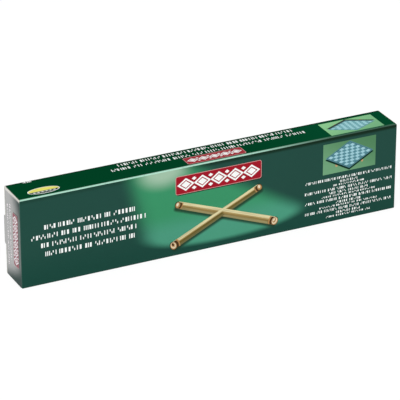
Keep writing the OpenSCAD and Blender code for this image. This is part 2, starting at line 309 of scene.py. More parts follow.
# How far the pith of each arm's wood lies behind the arm, and as far before its wheels, and how
# far the piths of arms and wheels lie above their middle
PITH_BEHIND = {"lower": -0.011, "upper": 0.014}
ARM_PITH_RISE, WHEEL_PITH_RISE = -0.019, 0.004


def settings(part):
    """The scene's settings of one part, such as "board"."""
    return getattr(bpy.context.scene, "carton_" + part)


# ---------------------------------------------------------------- node trees

def arithmetic(operation, swapped=False):
    """A method that adds the math node of an operation on a value and another."""
    def method(self, other):
        return self.tree.math(operation, *((other, self) if swapped else (self, other)))
    return method


class Value:
    """A value inside a node tree. Arithmetic with it adds the nodes that do it, and a comparison
    gives 1 where it is true and 0 elsewhere."""

    def __init__(self, tree, socket):
        self.tree, self.socket = tree, socket

    def __abs__(self):
        return self.tree.math("ABSOLUTE", self)

    __add__ = arithmetic("ADD")
    __sub__ = arithmetic("SUBTRACT")
    __rsub__ = arithmetic("SUBTRACT", swapped=True)
    __mul__ = arithmetic("MULTIPLY")
    __truediv__ = arithmetic("DIVIDE")
    __rtruediv__ = arithmetic("DIVIDE", swapped=True)
    __pow__ = arithmetic("POWER")
    __gt__ = arithmetic("GREATER_THAN")
    __lt__ = arithmetic("LESS_THAN")


class Outputs:
    """The outputs of a node, each a Value by its number or name."""

    def __init__(self, tree, sockets):
        self.tree, self.sockets = tree, sockets

    def __getitem__(self, key):
        return Value(self.tree, self.sockets[key])


class Tree:
    """A node tree being laid out."""

    def __init__(self, tree):
        self.tree = tree

    def put(self, socket, value):
        """Links a Value to a socket, or sets the socket to a constant."""
        if isinstance(value, Value):
            self.tree.links.new(value.socket, socket)
        else:
            socket.default_value = value

    def add(self, kind, values=(), **attributes):
        """Adds a node, with its inputs' values by number or name, and returns its outputs."""
        made = self.tree.nodes.new(kind)
        row, column = divmod(len(self.tree.nodes), 12)
        made.location = (180 * column, -220 * row)
        for name, value in attributes.items():
            setattr(made, name, value)
        for key, value in dict(values).items():
            self.put(made.inputs[key], value)
        return Outputs(self, made.outputs)

    def math(self, operation, *values, clamp=False):
        """The result of a math node."""
        return self.add("ShaderNodeMath", enumerate(values), operation=operation,
                        use_clamp=clamp)[0]

    def largest(self, first, *others):
        """The largest of the values."""
        for other in others:
            first = self.math("MAXIMUM", first, other)
        return first

    def smallest(self, first, *others):
        """The smallest of the values."""
        for other in others:
            first = self.math("MINIMUM", first, other)
        return first

    def vector(self, operation, *values):
        """The result of a vector math node."""
        made = self.add("ShaderNodeVectorMath", enumerate(values), operation=operation)
        return made["Value" if operation in ("LENGTH", "DOT_PRODUCT", "DISTANCE") else "Vector"]

    def scaled(self, vector, factor):
        """A vector times a number."""
        return self.add("ShaderNodeVectorMath", {0: vector, "Scale": factor},
                        operation="SCALE")["Vector"]

    def split(self, vector):
        """The three parts of a vector."""
        parts = self.add("ShaderNodeSeparateXYZ", {0: vector})
        return parts[0], parts[1], parts[2]

    def join(self, x, y, z=0.0):
        """A vector of three numbers."""
        return self.add("ShaderNodeCombineXYZ", {0: x, 1: y, 2: z})[0]

    def mix(self, factor, first, second, blend_type="MIX"):
        """A colour between two others, or the second laid over the first."""
        return self.add("ShaderNodeMix", {0: factor, 6: first, 7: second},
                        data_type="RGBA", blend_type=blend_type)[2]

    def between(self, factor, first, second):
        """A number between two others."""
        return self.add("ShaderNodeMix", {0: factor, 2: first, 3: second})[0]

    def dimmed(self, tone, level):
        """A colour times a brightness."""
        return self.mix(1.0, tone, self.join(level, level, level), "MULTIPLY")

    def step(self, value, start, end, low=0.0, high=1.0):
        """Runs smoothly from low to high as value goes from start to end."""
        return self.add("ShaderNodeMapRange", {"Value": value, 1: start, 2: end, 3: low, 4: high},
                        interpolation_type="SMOOTHSTEP")[0]

    def noise(self, vector, scale, detail=2.0, roughness=0.5, distortion=0.0, output=0):
        """Clouds of noise, whose scale is in waves to the metre."""
        return self.add("ShaderNodeTexNoise", {
            "Vector": vector, "Scale": scale, "Detail": detail,
            "Roughness": roughness, "Distortion": distortion})[output]

    def streaks(self, vector, scales, detail=2.0, output=0):
        """Noise with its own waves to the metre along each axis."""
        return self.noise(self.mapping(vector, Scale=scales), 1.0, detail, output=output)

    def mapping(self, vector, **values):
        """A vector scaled, turned and moved, in that order."""
        return self.add("ShaderNodeMapping", {"Vector": vector, **values})[0]


# ---------------------------------------------------------------- shared effects

VECTOR, COLOUR, NUMBER = "NodeSocketVector", "NodeSocketColor", "NodeSocketFloat"
EFFECTS = []


def effect(lay_out):
    """Turns the layout of a shared node group into a function that adds the group to a tree.

    The layout's arguments are the group's inputs, and it returns the group's outputs by name.
    """
    name = lay_out.__name__.replace("_", " ").title()

    def build():
        made = bpy.data.node_groups.new(name, "ShaderNodeTree")
        tree = Tree(made)
        for socket, kind in lay_out.__annotations__.items():
            made.interface.new_socket(socket, in_out="INPUT", socket_type=kind)
        given = tree.add("NodeGroupInput")
        values = lay_out(tree, *(given[socket] for socket in lay_out.__annotations__))
        for socket in values:
            made.interface.new_socket(socket, in_out="OUTPUT",
                                      socket_type=COLOUR if socket == "Colour" else NUMBER)
        tree.add("NodeGroupOutput", values)

    def use(tree, *values):
        return tree.add("ShaderNodeGroup", enumerate(values), node_tree=bpy.data.node_groups[name])

    EFFECTS.append(build)
    return use


@effect
def printed_film(tree, place: VECTOR):
    """Varnished print: slow waves of the board, mottled ink and fine paper grain."""
    waves = tree.noise(place, 14.0, detail=1.0)
    mottle = tree.noise(place, 380.0, detail=3.0)
    grain = tree.noise(place, 2600.0)
    return {"Tone": waves * 0.08 + mottle * 0.05 + 0.935,
            "Roughness": waves * 0.10 + mottle * 0.08 + 0.24,
            "Height": waves * 0.6 + grain * 0.006 + mottle * 0.02}


@effect
def raw_board(tree, place: VECTOR, pulp: COLOUR, fleck: COLOUR):
    """Raw paperboard: cloudy pulp, darker flecks and a fibrous surface."""
    cloud = tree.noise(place, 55.0, detail=4.0)
    fibre = tree.noise(place, 1900.0, detail=3.0, roughness=0.65, distortion=1.5)
    flecks = tree.step(tree.noise(place, 760.0, roughness=0.7), 0.63, 0.72) * 0.7
    return {"Colour": tree.mix(flecks, tree.dimmed(pulp, cloud * 0.10 + 0.93), fleck),
            "Height": fibre}


@effect
def printed_side(tree, place: VECTOR, middle: VECTOR, half_size: VECTOR, radius: NUMBER,
                 skin: NUMBER):
    """1 on the print of the sleeve's four walls, 0 on their raw side and through their edges."""
    place = tree.vector("ABSOLUTE", tree.vector("SUBTRACT", place, middle))
    flat = tree.vector("SUBTRACT", half_size, tree.join(radius, radius, radius))
    _, y, z = tree.split(tree.vector("SUBTRACT", place, flat))
    corner = tree.vector("LENGTH", tree.join(0.0, tree.largest(y, 0.0), tree.largest(z, 0.0)))
    inside = tree.smallest(tree.largest(y, z), 0.0)
    return {"Mask": radius - (corner + inside) < skin}


@effect
def fold_wear(tree, place: VECTOR, distance: NUMBER, reach: NUMBER):
    """Cracked ink along an edge: 1 at the edge, broken up by noise over its reach."""
    nibble = tree.noise(place, 900.0, detail=3.0, roughness=0.6)
    uneven = nibble * 1.1 + tree.noise(place, 60.0) * 0.9
    return {"Mask": tree.step(uneven - distance / reach, 0.15, 0.75)}


@effect
def soft_spot(tree, place: VECTOR, middle: VECTOR, half_size: VECTOR, squareness: NUMBER,
              softness: NUMBER):
    """A soft-edged spot with squared ends: 1 inside and 0 outside."""
    place = tree.vector("DIVIDE", tree.vector("SUBTRACT", place, middle), half_size)
    x, y, _ = tree.split(tree.vector("ABSOLUTE", place))
    reach = (x ** squareness + y ** squareness) ** (1.0 / squareness)
    return {"Mask": tree.step(reach, softness + 1.0, 1.0 - softness)}


@effect
def soft_stroke(tree, place: VECTOR, start: VECTOR, end: VECTOR, radius: NUMBER,
                softness: NUMBER):
    """A soft-edged stroke from one point to another, on flat artwork."""
    run, past = tree.vector("SUBTRACT", end, start), tree.vector("SUBTRACT", place, start)
    along = tree.math("DIVIDE", tree.vector("DOT_PRODUCT", past, run),
                      tree.vector("DOT_PRODUCT", run, run), clamp=True)
    gap = tree.vector("DISTANCE", past, tree.scaled(run, along))
    return {"Mask": tree.step(gap, radius + softness, radius - softness)}


@effect
def wood_grain(tree, place: VECTOR, pale: COLOUR, dark: COLOUR, ring_width: NUMBER, pith: VECTOR):
    """Wood with its grain along X: year rings round a pith beside the piece, and long pores."""
    sway = tree.streaks(place, (4.0, 30.0, 30.0), output="Color")
    sway = tree.scaled(tree.vector("SUBTRACT", sway, (0.5, 0.5, 0.5)), 0.008)
    _, y, z = tree.split(tree.vector("SUBTRACT", tree.vector("ADD", place, sway), pith))
    year = tree.math("FRACT", tree.vector("LENGTH", tree.join(0.0, y, z)) / ring_width)
    ring = year ** 2.2 * tree.step(year, 1.0, 0.90)
    streak = tree.streaks(place, (14.0, 900.0, 900.0), detail=3.0)
    pores = tree.step(tree.streaks(place, (60.0, 2600.0, 2600.0)), 0.58, 0.72)
    late = tree.math("ADD", ring * 0.75 + pores * 0.35 + (streak - 0.45) * 0.6,
                     (tree.noise(place, 18.0) - 0.5) * 0.5, clamp=True)
    return {"Colour": tree.mix(late, pale, dark), "Roughness": late * 0.16 + 0.42,
            "Height": streak - pores * 0.6}


@effect
def turned_metal(tree, place: VECTOR, tone: COLOUR, stain: COLOUR):
    """Turned metal: rings round X left by the tool, and stains."""
    turned = tree.streaks(place, (5000.0, 200.0, 200.0), detail=3.0)
    stained = tree.noise(place, 260.0, detail=4.0, roughness=0.6)
    return {"Colour": tree.mix(tree.step(stained, 0.50, 0.78), tone, stain),
            "Roughness": stained * 0.25 + 0.22, "Height": turned}


# ---------------------------------------------------------------- materials

# Depths of the surfaces' relief
INK_RELIEF, BOARD_RELIEF, FLAP_RELIEF = 0.2 * MM, 0.25 * MM, 0.05 * MM
WOOD_RELIEF, STEEL_RELIEF, ZINC_RELIEF = 0.06 * MM, 0.02 * MM, 0.01 * MM
# Where the pale band of the long folds, cracked ink and a painted highlight, fades along X, and the
# noise that frays it
CREASE_FADE, CREASE_FRAY = (15 * MM, 145 * MM), (0.22, 0.52)
# Strengths of the pale band, cracked ink and painted highlight, at the front and back folds
CREASE_STRENGTHS = (0.95, 0.12)
# Spans of the front's and back's print, in u and v: where the glow turns to the pool's colour,
# where the ground turns to its lower colour, and where the painted shade beside the upper fold ends
# and grows
POOL_SPAN, WALL_SPAN = (44 * MM, 68 * MM), (0.45 * TOP, 0.98 * TOP)
WALL_FOLD_SHADE, WALL_FOLD_SHADE_GROWTH = (5.5 * MM, 2.5 * MM), (60 * MM, 320 * MM)
# Spans of the top's and bottom's print: where the ground changes along X, and where the painted
# shade before the back fold grows along Y
LEVEL_SPAN, LEVEL_FOLD_SHADE = (0.1 * RIGHT, 0.7 * RIGHT), (BACK - 4.0 * MM, BACK - 1.5 * MM)
# The pale sheen painted on the ends, a painted reflection of their glossy film: where it grows
# upwards and away from the crease, how far its lower edge leans, and the height from which its
# other edge leans back
PAINTED_SHEEN_UP, PAINTED_SHEEN_ACROSS = (8 * MM, 26 * MM), (-9 * MM, 21 * MM)
PAINTED_SHEEN_LEAN, PAINTED_SHEEN_BEND, PAINTED_SHEEN_BACK = 0.35, 68 * MM, 0.4
# How far the print runs over the creases of the flaps, and how ragged its end is
RUN_OVER, RAGGED = 5.5 * MM, 0.8 * MM


class Material(Tree):
    """The node tree of a new material, with its shader and the piece's own coordinates."""

    def __init__(self, name):
        self.made = bpy.data.materials.new(name)
        self.made.use_nodes = True
        super().__init__(self.made.node_tree)
        self.shader = self.tree.nodes["Principled BSDF"]
        self.place = self.add("ShaderNodeTexCoord")["Object"]

    def fit(self, tone, roughness, height, relief, **others):
        """Gives the shader its values and returns the material. relief is the bump's depth."""
        bump = self.add("ShaderNodeBump", {"Height": height, "Strength": 1.0, "Distance": relief})
        values = {"Base Color": tone, "Roughness": roughness, "Normal": bump[0], **others}
        for name, value in values.items():
            self.put(self.shader.inputs[name.replace("_", " ")], value)
        return self.made


class Print(Material):
    """The node tree of a material with the film of varnished print."""

    def __init__(self, name):
        super().__init__(name)
        self.film = printed_film(self, self.place)

    def mottled(self, tone):
        """A colour with the film's waves and mottle."""
        return self.dimmed(tone, self.film["Tone"])

    def fit_ink(self, tone):
        """The finished material of an ink that has this colour all over."""
        return self.fit(self.mottled(tone), self.film["Roughness"], self.film["Height"],
                        INK_RELIEF, Specular_IOR_Level=0.04)

    def fit_board(self, ground, printed, relief=BOARD_RELIEF, **others):
        """The finished material of board with this ground where printed is 1 and raw elsewhere."""
        board = settings("board")
        raw = raw_board(self, self.place, board.raw, board.fleck)
        return self.fit(self.mix(printed, raw["Colour"], ground),
                        self.between(printed, 0.88, self.film["Roughness"]),
                        self.between(printed, raw["Height"], self.film["Height"]),
                        relief, **others)


def sleeve_side(tree, bead_start=None):
    """The mask of the print on the sleeve's walls, and on the bead of a crease past bead_start."""
    board = settings("board")
    half_size = (1.0, (BACK - FRONT) / 2, (TOP - BOTTOM) / 2)
    mask = printed_side(tree, tree.place, MIDDLE, half_size, board.fold_radius,
                        board.thickness / 4)["Mask"]
    if bead_start is None:
        return mask
    return tree.largest(mask, abs(tree.split(tree.place)[0]) > bead_start)


def crease_ink(tree, ground, strengths):
    """Adds the pale band of the top's front and back folds to a ground colour: cracked ink, and a
    painted highlight that is brightest at the left.
    """
    board = settings("board")
    radius = board.fold_radius
    x, y, z = tree.split(tree.place)
    # painted highlight: the band fades towards the right end, as the light on the fold does
    fade = tree.step(x, *CREASE_FADE, 1.0, 0.1)
    fray = tree.step(tree.noise(tree.place, 520.0, detail=3.0, roughness=0.6),
                     *CREASE_FRAY, 0.7, 1.0)
    for strength, inward in zip(strengths, (y - FRONT, BACK - y)):
        band = (tree.step(inward, 2.0 * radius, 1.2 * radius)
                * tree.step(TOP - z, 1.0 * radius, 0.55 * radius))
        ground = tree.mix(band * strength * fade * fray, ground, board.crease)
    return ground


def worn_edges(tree, ground, distances, reach, strength, tone):
    """Adds scuffs where any of the distances to an edge is small."""
    wear = fold_wear(tree, tree.place, tree.smallest(*distances), reach)["Mask"]
    return tree.mix(wear * strength, ground, tone)


def glow_print(tree, ground, flat):
    """Adds the pool of light and the beam above it to a ground colour, in artwork coordinates."""
    glow = settings("glow")
    u, v, _ = tree.split(flat)
    across = tree.largest(glow.centre_v - v, 0.0) * glow.spread + u
    pool = soft_spot(tree, tree.join(across, tree.largest(v, glow.centre_v)),
                     (glow.centre_u, glow.centre_v, 0.0),
                     (glow.half_width, glow.half_height, 1.0),
                     glow.squareness, glow.softness)["Mask"]
    start, end = (Vector((*point, 0.0)) * MM for point in BEAM_EDGE)
    outward = Vector((end.y - start.y, start.x - end.x, 0.0)).normalized()
    past = tree.vector("DOT_PRODUCT", tree.vector("SUBTRACT", flat, start), outward)
    area = (pool * tree.step(past, BEAM_FADE, -BEAM_FADE)
            * tree.step(across, glow.left_start, glow.left_end))
    inner = tree.mix(tree.step(v, *POOL_SPAN), glow.middle, glow.low)
    bright = soft_spot(tree, flat, Vector((*SPOT_MIDDLE, 0.0)) * MM,
                       (*(Vector(SPOT_HALF_SIZE) * MM), 1.0), 2.0, SPOT_SOFTNESS)["Mask"]
    return tree.mix(area, ground, tree.mix(bright, inner, glow.bright))


def bar_shadows(tree, ground, flat):
    """Darkens the ground along the lower side of the two pictured bars."""
    for near, far, _ in PICTURED_BARS:
        start, end = (Vector((*point, 0.0)) * MM for point in sorted((near, far)))
        run = (end - start).normalized()
        drop = Vector((-run.y, run.x, 0.0)) * SHADOW_DROP
        stroke = soft_stroke(tree, flat, start + drop, end + drop, SHADOW_RADIUS, SHADOW_FADE)
        ground = tree.mix(stroke["Mask"] * SHADOW_STRENGTH, ground, settings("ink").shadow)
    return ground


def wall_print(name, turn, shift, bead_start=None):
    """Material of the front or back panel, on which turn and shift lay the artwork's u and v."""
    board = settings("board")
    tree = Print(name)
    flat = tree.mapping(tree.place, Rotation=turn, Location=shift)
    flat = tree.vector("MULTIPLY", flat, (1.0, 1.0, 0.0))
    u, v, _ = tree.split(flat)
    ground = tree.mix(tree.step(v, *WALL_SPAN), board.front_high, board.front_low)
    # painted shade: darker ground just below the upper fold, stronger towards the right
    painted_fold_shade = tree.step(v, *WALL_FOLD_SHADE) * tree.step(u, *WALL_FOLD_SHADE_GROWTH, 0.3, 1.0)
    ground = tree.mix(painted_fold_shade, ground, board.fold_shade)
    ground = tree.mottled(bar_shadows(tree, glow_print(tree, ground, flat), flat))
    ground = worn_edges(tree, ground, (u, RIGHT - LEFT - u), 0.4 * MM, 0.12, board.crease)
    ground = crease_ink(tree, ground, CREASE_STRENGTHS)
    return tree.fit_board(ground, sleeve_side(tree, bead_start), Specular_IOR_Level=0.1)


def level_print(name, crease_strengths, gloss):
    """Material of the top or bottom panel."""
    board = settings("board")
    tree = Print(name)
    x, y, _ = tree.split(tree.place)
    ground = tree.mix(tree.step(x, *LEVEL_SPAN), board.top_left, board.top_right)
    # painted shade: darker ground just before the back fold
    painted_fold_shade = tree.step(y, *LEVEL_FOLD_SHADE, 0.0, 0.85)
    ground = tree.mottled(tree.mix(painted_fold_shade, ground, board.fold_shade))
    ends = (x - (LEFT + board.thickness), RIGHT - board.thickness - x)
    ground = worn_edges(tree, ground, ends, 0.5 * MM, 0.15, board.crease)
    ground = crease_ink(tree, ground, crease_strengths)
    return tree.fit_board(ground, sleeve_side(tree, RIGHT - 1.0 * MM), Specular_IOR_Level=gloss)


def end_print(name):
    """Material of the closures. A pale sheen painted into their colour stands for the reflection of
    their glossy film; it greys all but the ground low down and at the crease, and a clear coat
    follows it."""
    board = settings("board")
    tree = Print(name)
    x, y, z = tree.split(tree.place)
    from_crease = y - FRONT
    rise = from_crease * PAINTED_SHEEN_LEAN + z
    across = from_crease - tree.largest(z - PAINTED_SHEEN_BEND, 0.0) * PAINTED_SHEEN_BACK
    # painted reflection: a pale sheen mixed into the ground high up and away from the crease; the
    # clear coat follows the same mask
    painted_sheen = tree.step(rise, *PAINTED_SHEEN_UP) * tree.step(across, *PAINTED_SHEEN_ACROSS)
    ground = tree.mottled(tree.mix(painted_sheen, board.end_ground, board.end_haze))
    ground = worn_edges(tree, ground, [TOP - 0.4 * MM - z], 3.6 * MM, 0.9, board.raw)
    printed = abs(x) > RIGHT - board.thickness / 4
    return tree.fit_board(ground, printed, Specular_IOR_Level=0.03, Coat_Roughness=0.16,
                          Coat_Weight=painted_sheen * printed * 0.9)


def flap_board(name):
    """Material of the flaps: raw board, with the print run a little way over the crease."""
    board = settings("board")
    tree = Print(name)
    x, y, z = tree.split(tree.place)
    skin = board.thickness / 4
    out = abs(x)
    ragged = tree.noise(tree.place, 300.0) * RAGGED
    # Dust flaps hang flat behind the closure, with their creases at the carton's top and bottom
    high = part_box("right_upper_dust_flap")[1]
    near = abs(z - MIDDLE.z) + ragged > high.z - MIDDLE.z - RUN_OVER
    dust = near * (out > high.x - skin)
    # Tuck flaps lean inwards from their crease at the closure's back edge
    low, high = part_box("right_tuck_flap")
    lean = (high.y - low.y - board.thickness) / (high.x - low.x)
    surface = (out - high.x) * lean + high.y
    near = out + ragged > high.x - RUN_OVER
    tuck = tree.largest(near * (y > surface - skin), out > high.x + skin)
    ground = tree.mix(tuck, board.top_left, board.end_ground)
    return tree.fit_board(ground, tree.largest(dust, tuck), FLAP_RELIEF, Specular_IOR_Level=0.2)


def wood(name, pale, dark, pith):
    """Material of a wooden piece whose grain runs along X."""
    tree = Material(name)
    grain = wood_grain(tree, tree.place, pale, dark, settings("wood").ring_width, pith)
    return tree.fit(grain["Colour"], grain["Roughness"], grain["Height"], WOOD_RELIEF,
                    Specular_IOR_Level=0.45)


def metal(name, tone, relief):
    """Material of a turned metal piece."""
    tree = Material(name)
    turned = turned_metal(tree, tree.place, tone, settings("wood").stain)
    return tree.fit(turned["Colour"], turned["Roughness"], turned["Height"], relief, Metallic=1.0)


def darker(tone, part):
    """A colour that keeps only part of its light."""
    return [*(part * channel for channel in tone[:3]), 1.0]


def ink(name):
    """Material of one of the ink colours of the settings, with faint clouds in it."""
    key = "ink_" + name
    if key in bpy.data.materials:
        return bpy.data.materials[key]
    tone = getattr(settings("ink"), name)
    tree = Print(key)
    cloud = tree.step(tree.noise(tree.place, 150.0), 0.35, 0.68)
    return tree.fit_ink(tree.mix(cloud, tone, darker(tone, 0.94)))


def lawn_ink(name, low, high, near, away):
    """Material of a small picture's ground, from one ink to another across its corners."""
    tree = Print("ink_" + name)
    place = tree.vector("DIVIDE", tree.vector("SUBTRACT", tree.place, low), high - low)
    x, y, z = tree.split(place)
    # One of Y and Z is the picture's other direction, and the ink's own thickness doesn't count
    other = z if (high - low).z > (high - low).y else 1.0 - y
    return tree.fit_ink(tree.mix(tree.step((x + other) * 0.5, 0.05, 0.95), near, away))


def printed_wood(name, pale, turn):
    """Material of one side of a pictured wooden bar, with printed grain along the bar."""
    tree = Print("ink_" + name)
    along = tree.mapping(tree.place, Rotation=(0.0, turn, 0.0))
    streak = tree.streaks(along, (28.0, 1.0, 700.0), detail=3.0)
    return tree.fit_ink(tree.mix(tree.step(streak, 0.40, 0.78), pale, darker(pale, 0.62)))


def dress(nodes, material):
    """Gives one material to these CAD nodes."""
    for node in nodes:
        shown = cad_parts[node]
        if not shown.material_slots:
            shown.data.materials.append(material)
        for slot in shown.material_slots:
            slot.material = material


# ---------------------------------------------------------------- flat pieces of ink

def object_mode():
    """Leaves edit mode."""
    bpy.ops.object.mode_set(mode="OBJECT")


def select_nothing():
    """Leaves edit mode and selects no object."""
    if bpy.context.mode != "OBJECT":
        object_mode()
    bpy.ops.object.select_all(action="DESELECT")


def apply_transform():
    """Makes the selected object's place, turn and size part of its mesh."""
    bpy.ops.object.transform_apply(location=True, rotation=True, scale=True)


def set_out(name, middle, size, turn=0.0):
    """Names the primitive that was just added and gives it its place, size and turn in the mesh."""
    made = bpy.context.object
    made.name = made.data.name = name
    made.scale = (size[0], size[1], 1.0)
    made.rotation_euler = (0.0, 0.0, turn)
    made.location = (middle[0], -middle[1], 0.0)
    apply_transform()
    return made


def flat_rectangle(name, middle, size):
    """A flat rectangle of one face."""
    select_nothing()
    bpy.ops.mesh.primitive_plane_add(size=1.0)
    return set_out(name, middle, size)


def flat_disc(name, middle, size, corners, turn=0.0):
    """A flat oval, or with four corners a lozenge."""
    select_nothing()
    bpy.ops.mesh.primitive_circle_add(vertices=corners, radius=0.5, fill_type="NGON")
    return set_out(name, middle, size, turn)


def flat_grid(name, columns, rows):
    """A flat square of one metre in columns and rows."""
    select_nothing()
    bpy.ops.mesh.primitive_grid_add(x_subdivisions=columns, y_subdivisions=rows, size=1.0)
    bpy.context.object.name = bpy.context.object.data.name = name
    return bpy.context.object


def edit(mode):
    """Edits the active piece with all of it selected, as vertices, edges or faces."""
    bpy.ops.object.mode_set(mode="EDIT")
    bpy.ops.mesh.select_mode(type=mode)
    bpy.ops.mesh.select_all(action="SELECT")


def select_faces(piece, wanted):
    """Selects the faces of piece for which wanted(face) is true, and stays in edit mode."""
    object_mode()
    for part in (*piece.data.vertices, *piece.data.edges):
        part.select = False
    for polygon in piece.data.polygons:
        polygon.select = wanted(polygon)
    bpy.ops.object.mode_set(mode="EDIT")


def round_corners():
    """Rounds the corners of the active flat piece."""
    edit("VERT")
    bpy.ops.mesh.bevel(offset=settings("ink").corner, segments=5, affect="VERTICES")
    object_mode()


def fill_selected(piece, index):
    """Gives the selected faces one of the piece's inks."""
    piece.active_material_index = index
    bpy.ops.object.material_slot_assign()


def use_inks(piece, *inks, rings=(), shift=(0.0, 0.0)):
    """Gives a flat piece its inks: the first all over, and the next inside each inset ring. shift
    moves all insides but the first, as shares of their insets, for rings wider at one side."""
    piece.data.materials.clear()
    for material in inks:
        piece.data.materials.append(material)
    if not rings:
        return
    edit("FACE")
    for index, width in enumerate(rings):
        bpy.ops.mesh.inset(thickness=width)
        if index:
            bpy.ops.transform.translate(value=(shift[0] * width, shift[1] * width, 0.0))
        fill_selected(piece, index + 1)
    object_mode()


def joined(name, pieces):
    """One piece of several, under the given name."""
    select_nothing()
    for piece in pieces:
        piece.select_set(True)
    bpy.context.view_layer.objects.active = pieces[0]
    if len(pieces) > 1:
        bpy.ops.object.join()
    pieces[0].name = pieces[0].data.name = name
    return pieces[0]


def copied(piece, places):
    """Copies of a piece, each with its own mesh, moved to the given (u, v) offsets."""
    made = []
    for u, v in places:
        twin = piece.copy()
        twin.data = piece.data.copy()
        twin.data.transform(Matrix.Translation((u, -v, 0.0)))
        bpy.context.collection.objects.link(twin)
        made.append(twin)
    bpy.data.objects.remove(piece)
    return made


def print_on(piece, face_name, layer=0):
    """Gives flat artwork the thickness of its inks, lays it on its face and lets it ride there.

    Each layer reaches down to the board and stands one film higher than the layer under it.
    """
    matrix, body, board_slot = FACES[face_name]
    select_nothing()
    bpy.context.view_layer.objects.active = piece
    piece.select_set(True)
    thick = piece.modifiers.new("Ink", "SOLIDIFY")
    thick.thickness = settings("ink").film * (layer + 1)
    thick.offset = 1.0
    bpy.ops.object.modifier_apply(modifier=thick.name)
    piece.matrix_world = matrix
    apply_transform()
    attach(piece, body)


# ---------------------------------------------------------------- kinds of artwork

# Whether the upper and lower half of a column of a line of strokes have ink
FULL, UPPER, LOWER, BLANK = (True, True), (True, False), (False, True), (False, False)
# Plain upright strokes, thin or thick, and pairs of half strokes
SIGNS = [[FULL], [FULL], [FULL], [FULL, FULL], [FULL, FULL],
         [UPPER, BLANK, LOWER], [LOWER, BLANK, UPPER]]


def stroke_columns(count, dice):
    """Columns of a line of plain strokes, which stand in groups as long as words."""
    columns = []
    while len(columns) < count:
        for _ in range(dice.randint(3, 8)):
            columns += dice.choice(SIGNS) + [BLANK] * dice.choice((1, 2))
        columns += [BLANK, BLANK]
    return columns[:count - 1] + [FULL]


def stroke_line(left, right, middle, height, stroke, dice):
    """One flat line of strokes."""
    count = round((right - left) / stroke)
    columns = stroke_columns(count, dice)
    flat_grid("line", count, 2)
    strip = set_out("line", ((left + right) / 2, middle), (right - left, height))

    def blank(polygon):
        column = min(int((polygon.center.x - left) / (right - left) * count), count - 1)
        return not columns[column][0 if polygon.center.y > -middle else 1]

    edit("FACE")
    select_faces(strip, blank)
    bpy.ops.mesh.delete(type="FACE")
    object_mode()
    return strip


def stroke_block(name, face_name, lines, stroke, seed, ink_name="white"):
    """Lines of strokes as one piece."""
    dice = random.Random(seed)
    made = [stroke_line(*(MM * measure for measure in line), stroke, dice) for line in lines]
    block = joined(name, made)
    use_inks(block, ink(ink_name))
    print_on(block, face_name)


def lozenge_row(name, face_name, middle, pitch, count, size, layer, inks):
    """A row of lozenges with a thin ring in each, and a small lozenge above and below each gap."""
    first = middle[0] - pitch * (count - 1) / 2
    lozenge = flat_disc(name + "_lozenge", (first, middle[1]), size, corners=4)
    use_inks(lozenge, *inks, rings=[LOZENGE_EDGE * size[1], LOZENGE_RING * size[1]])
    lozenges = copied(lozenge, [(pitch * step, 0.0) for step in range(count)])
    dot = flat_disc(name + "_dot", (first + pitch / 2, middle[1] - DOT_RISE * size[1]),
                    (DOT_SIZE * size[0], DOT_SIZE * size[1]), corners=4)
    use_inks(dot, inks[0])
    dots = copied(dot, [(pitch * step, down) for step in range(count - 1)
                        for down in (0.0, 2 * DOT_RISE * size[1])])
    print_on(joined(name, lozenges + dots), face_name, layer)


def plaque(name, face_name, middle, size, count=5, tones=("red", "rim", "white"), fill=0.70):
    """A red plaque with a pale rim, a printed shadow and lozenges that are as high as fill says."""
    red, rim, white = (ink(tone) for tone in tones)
    middle, size = Vector(middle) * MM, Vector(size) * MM
    shade = flat_rectangle(name + "_shadow", middle + PLAQUE_SHADOW, size)
    round_corners()
    use_inks(shade, ink("shadow"))
    print_on(shade, face_name)
    plate = flat_rectangle(name, middle, size)
    round_corners()
    use_inks(plate, rim, red, rings=[PLAQUE_RIM])
    print_on(plate, face_name, layer=1)
    pitch = (size.x - PLAQUE_ENDS) / count
    lozenge_row(name + "_ornament", face_name, middle, pitch, count,
                (PLAQUE_LOZENGE * pitch, fill * size.y), 2, (white, red, white))


def pictured_bar(name, face_name, near, far, strips, layer):
    """One bar of the picture as strips along it, from its pale top to its foot, wider towards near.
    The strips of crossing bars interleave, so that both tops lie over both sides."""
    near, far = Vector(near) * MM, Vector(far) * MM
    run = far - near
    turn = math.atan2(-run.y, run.x)
    middle = (near + far) / 2
    grain = math.pi - turn if face_name == "back" else turn
    # Drawn from its near end, a bar that runs left has its upper side on the strip's lower side
    up = 1.0 if run.x > 0 else -1.0
    upper = sum(width for width, _ in strips) / 2 * MM
    for index, (width, tone) in enumerate(strips):
        high = upper + STRIP_OVERLAP * MM if index else upper
        lower = upper = upper - width * MM
        strip = flat_rectangle(f"{name}_strip_{index + 1}", (0.0, 0.0), (run.length, high - lower))
        edit("EDGE")
        bpy.ops.mesh.subdivide(number_cuts=3)
        object_mode()
        for vertex in strip.data.vertices:
            along = vertex.co.x / run.length + 0.5
            taper = NEAR_SHARE + (FAR_SHARE - NEAR_SHARE) * along
            vertex.co.y = (vertex.co.y + up * (high + lower) / 2) * taper
        strip.data.transform(Matrix.Translation((middle.x, -middle.y, 0.0))
                             @ Matrix.Rotation(turn, 4, "Z"))
        use_inks(strip, printed_wood(strip.name, getattr(settings("ink"), tone), grain))
        print_on(strip, face_name, layer + 2 * (len(strips) - 1 - index))


